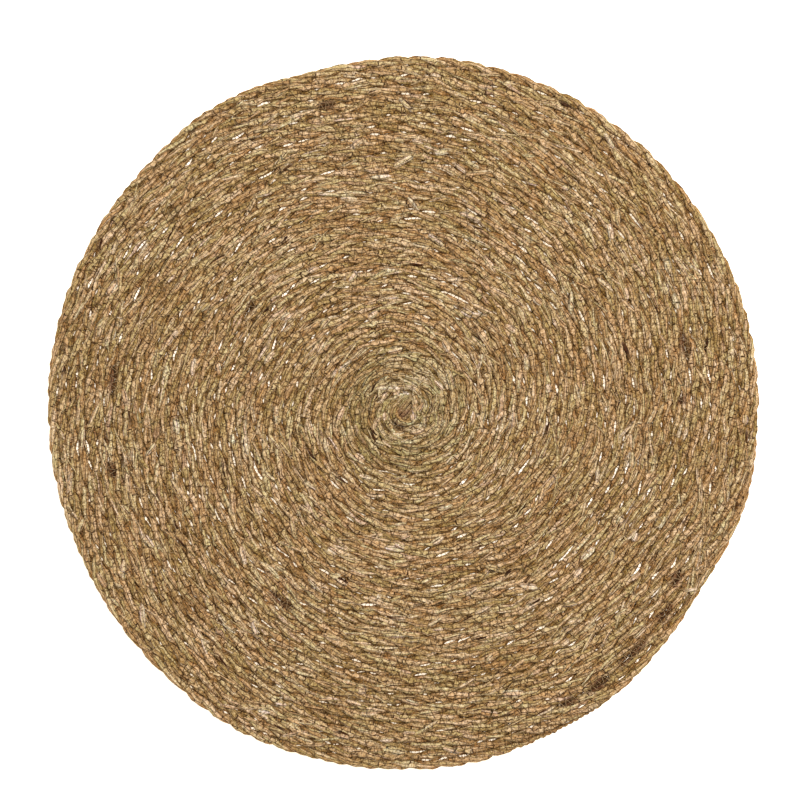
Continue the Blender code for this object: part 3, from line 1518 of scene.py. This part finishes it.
def stitch_group() -> bpy.types.NodeTree:
    """How close a point is to the zigzag stitches and to their needle holes.

    A leg crosses the join while the stitch count goes from an even to an odd number, so at a
    share w of the way across it is at the counts w and -w, and every even count on from them.

    Returns:
        The group: a mask of the grass under the legs and a mask of the holes.
    """
    floats = "NodeSocketFloat"
    build, given, out = new_group(
        "stitch marks", {"Stitch": "NodeSocketVector"}, {"Cinch": floats, "Hole": floats})
    outer, inner, across = build.split(given.outputs["Stitch"])

    def nearest(count: bpy.types.NodeSocket, share: bpy.types.NodeSocket) -> bpy.types.NodeSocket:
        """Distance to the nearest leg of one join.

        Args:
            count: the join's stitch count.
            share: share of the way across it.

        Returns:
            The distance along the row, in stitches.
        """
        ahead = build.maths("PINGPONG", build.maths("ADD", count, share), 1.0)
        behind = build.maths("PINGPONG", build.maths("SUBTRACT", count, share), 1.0)
        return build.maths("MINIMUM", ahead, behind)

    half = build.maths("MULTIPLY", across, 0.5)
    from_outer = nearest(outer, half)
    from_inner = nearest(inner, build.maths("ADD", half, 1.0))
    wrong_out = build.maths("MULTIPLY", build.maths("MAXIMUM", build.maths(
        "MULTIPLY", across, -1.0), 0.0), 5.0)
    wrong_in = build.maths("MULTIPLY", build.maths("MAXIMUM", across, 0.0), 5.0)
    away = build.maths("MINIMUM", build.maths("ADD", from_outer, wrong_out),
                       build.maths("ADD", from_inner, wrong_in))
    build.feed(out.inputs["Cinch"], build.eased(away, 0.03, 0.22, 1.0, 0.0))

    def hole(count: bpy.types.NodeSocket) -> bpy.types.NodeSocket:
        """Distance to the nearest needle hole in the middle of the row.

        Args:
            count: the stitch count of one of its joins.

        Returns:
            The distance, in stitches.
        """
        along = build.maths("PINGPONG", count, 1.0)
        sideways = build.maths("MULTIPLY", across, 1.25)
        return build.maths("SQRT", build.maths("ADD", build.maths("MULTIPLY", along, along),
                                               build.maths("MULTIPLY", sideways, sideways)))

    both = build.maths("MINIMUM", hole(outer), hole(build.maths("ADD", inner, 1.0)))
    build.feed(out.inputs["Hole"], build.eased(both, 0.08, 0.22, 1.0, 0.0))
    return build.tree


# Tones of dry grass from the darkest to the palest, and tints that they are multiplied by.
TONES = (
    (0.02, (0.125, 0.052, 0.008)),
    (0.22, (0.258, 0.138, 0.038)),
    (0.45, (0.425, 0.260, 0.110)),
    (0.64, (0.58, 0.400, 0.212)),
    (0.84, (0.68, 0.530, 0.350)),
    (1.00, (0.84, 0.720, 0.555)),
)
TINTS = (
    (0.22, (1.03, 0.935, 0.84)),
    (0.34, (1.00, 0.965, 1.02)),
    (0.46, (0.99, 0.99, 1.00)),
    (0.56, (0.94, 0.995, 0.95)),
    (0.66, (0.88, 0.975, 0.84)),
    (0.78, (0.99, 0.965, 1.18)),
)


@dataclass(frozen=True)
class SeagrassFinish:
    """Dry seagrass: blades of many tones, creased under the stitches, with painted shade at the
    blades' edges, along thin crease lines, under the stitches, at the needle holes and the joins,
    painted shadow in the hollows and painted shade on the rows' sides near the cord's middle height.

    A ring round the centre, from tint_from to tint_to, is multiplied by the tint.
    """

    name: str
    blades: float
    blade_length: float
    blade_twist: float
    waver: float
    brightness: float = 0.0
    join_shade: float = 0.0
    crease_line_shade: float = 0.45
    cinch_shade: float = 0.6
    hole_shade: float = 0.5
    hollow_shade: float = 0.88
    # painted shade: the dark tint multiplied in at the blades' edges, along crease lines, at the
    # joins, under the stitches and at the needle holes
    deep: Colour = (0.085, 0.036, 0.005)
    shadow: Colour = (0.20, 0.12, 0.095)
    tint: Colour = (0.88, 0.97, 0.96)
    tint_from: float = 9.0 * MM
    tint_to: float = 27.0 * MM
    tint_share: float = 0.8
    # painted shade in the valleys between rows: the tint for points near the cord's middle height,
    # fading out further from it
    low: Colour = (0.82, 0.70, 0.53)
    middle: float = 2.8 * MM
    valley_shade_full: float = 0.7 * MM
    valley_shade_none: float = 1.9 * MM
    specular: float = 0.12
    bump_depth: float = 0.30 * MM

    def material(self, blades: bpy.types.NodeTree, stitches: bpy.types.NodeTree
                 ) -> bpy.types.Material:
        """Build the material on the piece's own map and, where it is sewn, its stitches.

        Args:
            blades: the group of the grass.
            stitches: the group of the stitch marks.

        Returns:
            The material.
        """
        made = bpy.data.materials.new(self.name)
        made.use_nodes = True
        build = Finish(made.node_tree)
        shader = made.node_tree.nodes["Principled BSDF"]
        place = build.node("ShaderNodeUVMap", uv_map="ply").outputs[0]
        grass = build.node("ShaderNodeGroup", node_tree=blades)
        for title, value in (("Place", place), ("Blades", self.blades),
                             ("Length", self.blade_length), ("Twist", self.blade_twist),
                             ("Waver", self.waver)):
            build.feed(grass.inputs[title], value)
        fibre, edge = grass.outputs["Fibre"], grass.outputs["Edge"]
        colour = self.colour(build, place, grass)
        # painted shade on the rows' sides: full close to the cord's middle height, none further off
        height = build.split(build.node("ShaderNodeTexCoord").outputs["Object"])[2]
        height = build.maths("ABSOLUTE", build.maths("SUBTRACT", height, self.middle))
        valley_shade_share = build.eased(height, self.valley_shade_full, self.valley_shade_none, 1.0, 0.0)
        colour = build.blend(valley_shade_share, colour, self.low, "MULTIPLY")
        # painted shade at the blades' edges, in the creases between blades
        colour = build.blend(edge, colour, self.deep, "MULTIPLY")
        # painted shade along thin crease lines
        crease_line = build.maths("MULTIPLY", grass.outputs["Crease Line"], self.crease_line_shade)
        colour = build.blend(crease_line, colour, self.deep, "MULTIPLY")
        height = build.maths("MULTIPLY_ADD", edge, -0.6, build.maths("MULTIPLY", fibre, 0.3))
        colour, height = self.creased(build, colour, height, stitches)
        build.feed(shader.inputs["Base Color"], colour)
        build.feed(shader.inputs["Roughness"], build.eased(fibre, 0.2, 0.8, 0.5, 0.72))
        shader.inputs["Specular IOR Level"].default_value = self.specular
        bump = build.node("ShaderNodeBump")
        bump.inputs["Strength"].default_value = 1.0
        bump.inputs["Distance"].default_value = self.bump_depth
        build.feed(bump.inputs["Height"], height)
        build.feed(shader.inputs["Normal"], bump.outputs[0])
        return made

    def creased(self, build: Finish, colour: bpy.types.NodeSocket, height: bpy.types.NodeSocket,
                stitches: bpy.types.NodeTree
                ) -> Tuple[bpy.types.NodeSocket, bpy.types.NodeSocket]:
        """Paint shade on the grass under the stitches, at the needle holes, at the joins and in
        hollows, and sink it under the stitches and at the holes.

        Args:
            build: the material's nodes.
            colour: the colour so far.
            height: the height so far, for the bump.
            stitches: the group of the stitch marks.

        Returns:
            The new colour and height.
        """
        marks = build.node("ShaderNodeGroup", node_tree=stitches)
        stitch = build.node("ShaderNodeAttribute", attribute_name="stitch")
        build.feed(marks.inputs["Stitch"], stitch.outputs["Vector"])
        spot = build.node("ShaderNodeTexCoord").outputs["Object"]
        tight = build.eased(build.noise(spot, 150.0, 1.0), 0.35, 0.65, 0.25, 1.0)
        cinch = build.maths("MULTIPLY", marks.outputs["Cinch"], tight)
        hole = marks.outputs["Hole"]
        hollow = build.node("ShaderNodeAttribute", attribute_name="hollow").outputs["Fac"]
        streak = build.noise(spot, 900.0, 2.0)
        hollow = build.eased(build.maths("ADD", hollow, streak), 0.95, 1.5)
        across = build.maths("ABSOLUTE", build.split(stitch.outputs["Vector"])[2])
        gap = build.maths("MULTIPLY_ADD", build.noise(spot, 300.0, 2.0), 1.1, across)
        gap = build.eased(gap, 1.48, 1.64)
        # painted shade at the joins, under the stitch legs and at the needle holes, and painted
        # shadow in the hollows
        for mask, share, tint in ((gap, self.join_shade, self.deep),
                                  (cinch, self.cinch_shade, self.deep),
                                  (hole, self.hole_shade, self.deep),
                                  (hollow, self.hollow_shade, self.shadow)):
            colour = build.blend(build.maths("MULTIPLY", mask, share), colour, tint, "MULTIPLY")
        height = build.maths("MULTIPLY_ADD", cinch, -0.6, height)
        return colour, build.maths("MULTIPLY_ADD", hole, -0.5, height)

    def colour(self, build: Finish, place: bpy.types.NodeSocket, grass: bpy.types.Node
               ) -> bpy.types.NodeSocket:
        """Work out the colour: tone by blade and fibre, hue by stretch of grass, and the tint.

        Args:
            build: the material's nodes.
            place: the piece's map.
            grass: the node of the grass's group.

        Returns:
            The colour.
        """
        u, v, _ = build.split(place)
        spot = build.node("ShaderNodeTexCoord").outputs["Object"]
        patch = build.noise(spot, 55.0, 2.0)
        tone = build.maths("MULTIPLY", grass.outputs["Second Chance"], 0.30)
        tone = build.maths("MULTIPLY_ADD", grass.outputs["Fibre"], 0.52, tone)
        tone = build.maths("MULTIPLY_ADD", grass.outputs["Speckle"], 0.9, tone)
        tone = build.maths("MULTIPLY_ADD", patch, 0.30, tone)
        tone = build.maths("MULTIPLY_ADD", build.noise(spot, 170.0, 1.0), 0.30, tone)
        tone = build.maths("SUBTRACT", tone, 0.668 - self.brightness)
        family = build.ramp(tone, TONES)
        stretch = build.noise(build.vector(build.maths("MULTIPLY", u, 0.45), v, 0.3), 1.0, 2.0)
        hue = build.maths("MULTIPLY_ADD", grass.outputs["Chance"], 0.3, build.maths(
            "SUBTRACT", stretch, 0.15))
        family = build.blend(1.0, family, build.ramp(hue, TINTS), "MULTIPLY")
        away = build.node("ShaderNodeVectorMath", operation="LENGTH")
        build.feed(away.inputs[0], spot)
        away = away.outputs["Value"]
        begun = build.eased(away, 0.5 * self.tint_from, self.tint_from)
        left = build.eased(away, self.tint_to, 1.5 * self.tint_to, self.tint_share, 0.0)
        return build.blend(build.maths("MULTIPLY", begun, left), family, self.tint, "MULTIPLY")


CORD_GRASS = SeagrassFinish(name="twisted seagrass", blades=6.0, blade_length=3.2,
                            blade_twist=-2.07, waver=1.5, join_shade=0.7)
LOOSE_GRASS = SeagrassFinish(name="loose seagrass", blades=1.0, blade_length=60.0,
                             blade_twist=0.0, waver=0.6, brightness=0.06)
PALE_GRASS = SeagrassFinish(name="pale leaves", blades=2.0, blade_length=60.0,
                            blade_twist=0.0, waver=0.6, brightness=0.16,
                            tint=(0.98, 0.97, 1.04), tint_from=1.0 * MM,
                            tint_to=1000.0 * MM)


@dataclass(frozen=True)
class ThreadFinish:
    """Fine brown sewing thread, a little lighter in patches of wear, and painted paler over hollows,
    as lit where it bridges them.
    """

    name: str = "brown sewing thread"
    dark: Colour = (0.105, 0.047, 0.010)
    light: Colour = (0.38, 0.25, 0.125)
    specular: float = 0.15

    def material(self) -> bpy.types.Material:
        """Build the material on object coordinates; the thread is painted paler over hollows, as lit
        where it bridges them.

        Returns:
            The material.
        """
        made = bpy.data.materials.new(self.name)
        made.use_nodes = True
        build = Finish(made.node_tree)
        shader = made.node_tree.nodes["Principled BSDF"]
        place = build.node("ShaderNodeTexCoord").outputs["Object"]
        wear_and_light = build.eased(build.noise(place, 260.0, 2.0), 0.4, 0.68)
        hollow = build.node("ShaderNodeAttribute", attribute_name="hollow").outputs["Fac"]
        # painted light: the thread is paler over hollows, where it bridges them
        wear_and_light = build.maths("MAXIMUM", wear_and_light, build.eased(hollow, 0.2, 0.8))
        build.feed(shader.inputs["Base Color"], build.blend(wear_and_light, self.dark, self.light))
        build.feed(shader.inputs["Roughness"], build.eased(wear_and_light, 0.0, 1.0, 0.5, 0.7))
        shader.inputs["Specular IOR Level"].default_value = self.specular
        return made


@dataclass(frozen=True)
class Studio:
    """A plain white floor, soft even light from above and a camera looking straight down."""

    camera_height: float = 1.5
    frame_width: float = 0.4262
    camera_x: float = -1.4 * MM
    camera_y: float = 5.8 * MM
    sensor: float = 36.0
    far: float = 50.0
    floor_side: float = 6.0
    floor_grey: float = 0.9
    floor_glow: Colour = (1.0, 0.86, 0.66)
    sky_colour: Colour = (1.0, 0.99, 0.97)
    sky_strength: float = 0.65
    lamp_size: float = 0.8
    lamp_watts: float = 34.0
    lamp_place: Tuple[float, float, float] = (0.4, 0.5, 1.6)
    lamp_turn: Tuple[float, float] = (-17.4, 14.0)

    def camera(self) -> bpy.types.Object:
        """Place the camera so that its frame is frame_width across at the mat's top.

        Returns:
            The camera.
        """
        lens = bpy.data.cameras.new("camera")
        lens.sensor_width = self.sensor
        lens.lens = self.sensor * self.camera_height / self.frame_width
        lens.clip_end = self.far
        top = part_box(MAT_NODE)[1].z
        thing = bpy.data.objects.new("camera", lens)
        thing.location = (self.camera_x, self.camera_y, top + self.camera_height)
        bpy.context.scene.collection.objects.link(thing)
        bpy.context.scene.camera = thing
        return thing

    def floor(self) -> bpy.types.Object:
        """Lay a square white sheet under the mat, with a warm glow that shows in the slits.

        Returns:
            The floor.
        """
        half = 0.5 * self.floor_side
        corners = np.array([(-half, -half, 0.0), (half, -half, 0.0), (half, half, 0.0),
                            (-half, half, 0.0)])
        thing = link("floor", corners, np.array([4]), np.arange(4))
        made = bpy.data.materials.new("white floor")
        made.use_nodes = True
        shader = made.node_tree.nodes["Principled BSDF"]
        shader.inputs["Base Color"].default_value = wide((self.floor_grey,) * 3)
        shader.inputs["Roughness"].default_value = 0.9
        shader.inputs["Emission Color"].default_value = wide(self.floor_glow)
        shader.inputs["Emission Strength"].default_value = 1.0
        thing.data.materials.append(made)
        thing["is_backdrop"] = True
        return thing

    def lights(self) -> None:
        """Add an even white sky and one wide soft lamp high on the right."""
        world = bpy.data.worlds.new("sky")
        world.use_nodes = True
        sky = world.node_tree.nodes["Background"]
        sky.inputs["Color"].default_value = wide(self.sky_colour)
        sky.inputs["Strength"].default_value = self.sky_strength
        bpy.context.scene.world = world
        lamp = bpy.data.lights.new("soft lamp", "AREA")
        lamp.shape = "DISK"
        lamp.size = self.lamp_size
        lamp.energy = self.lamp_watts
        thing = bpy.data.objects.new("soft lamp", lamp)
        thing.location = self.lamp_place
        thing.rotation_euler = (*(math.radians(turn) for turn in self.lamp_turn), 0.0)
        bpy.context.scene.collection.objects.link(thing)

    def build(self) -> None:
        """Set the stage, with colours shown as they are."""
        bpy.context.scene.view_settings.view_transform = "Standard"
        self.camera()
        self.floor()
        self.lights()


@dataclass
class Placemat:
    """The whole mat: plies, stitching and their finishes."""

    flat_across: float = 0.38

    def dress(self, thing: bpy.types.Object, material: bpy.types.Material, slot: Slot) -> None:
        """Give a piece its finish and let it ride on the mat's body.

        Args:
            thing: the piece.
            material: its material.
            slot: the record's slot that the material stands for; not used.
        """
        thing.data.materials.append(material)
        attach(thing, BODY)

    def build(self) -> List[bpy.types.Object]:
        """Build every piece in order.

        Returns:
            The pieces.
        """
        coil = Coil(PackedRim())
        cord = TwistedCord(coil)
        blades, stitches = blade_group(), stitch_group()
        twisted = CORD_GRASS.material(blades, stitches)
        loose = LOOSE_GRASS.material(blades, stitches)
        pale = PALE_GRASS.material(blades, stitches)
        brown = ThreadFinish().material()
        plies = [Plies(cord).build(ply) for ply in (0, 1)]
        for thing in plies:
            self.dress(thing, twisted, Slot.SEAGRASS)
        head = Head(cord.middle_height)
        strewn = [LooseBlades(cord, kind).build() for kind in
                  (STRANDS, CENTRE_STRANDS, STRAYS, UNDER_STRANDS)]
        strewn += [head.plug(), head.sheaf()]
        for thing in strewn:
            self.dress(thing, loose, Slot.SEAGRASS)
        strewn.append(LooseBlades(cord, LEAVES).build())
        strewn.append(LooseBlades(cord, CENTRE_LEAVES).build())
        for thing in strewn[-2:]:
            self.dress(thing, pale, Slot.SEAGRASS)
        threads = Stitching(cord, Face.TOP, seed=41).build(2)
        threads += Stitching(cord, Face.UNDERSIDE, seed=42).build(2)
        threads.append(Whipping(cord).build())
        for thing in threads:
            self.dress(thing, brown, Slot.THREAD)
        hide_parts(MAT_NODE)
        return plies + strewn + threads


def report(pieces: Sequence[bpy.types.Object]) -> None:
    """Args:
        pieces: the finished pieces.
    """
    for thing in pieces:
        mesh = thing.data
        mesh.calc_loop_triangles()
        log.info("%s: %d triangles", thing.name, len(mesh.loop_triangles))
    boxes = {"cad": CAD_BOX, "visual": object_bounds()}
    plain = {name: [[float(n) for n in corner] for corner in box] for name, box in boxes.items()}


def main() -> None:
    """Build the stage and the mat, and report each piece."""
    logging.basicConfig(level=logging.INFO, format="%(message)s")
    Studio().build()
    report(Placemat().build())


if __name__ == "__main__":
    main()
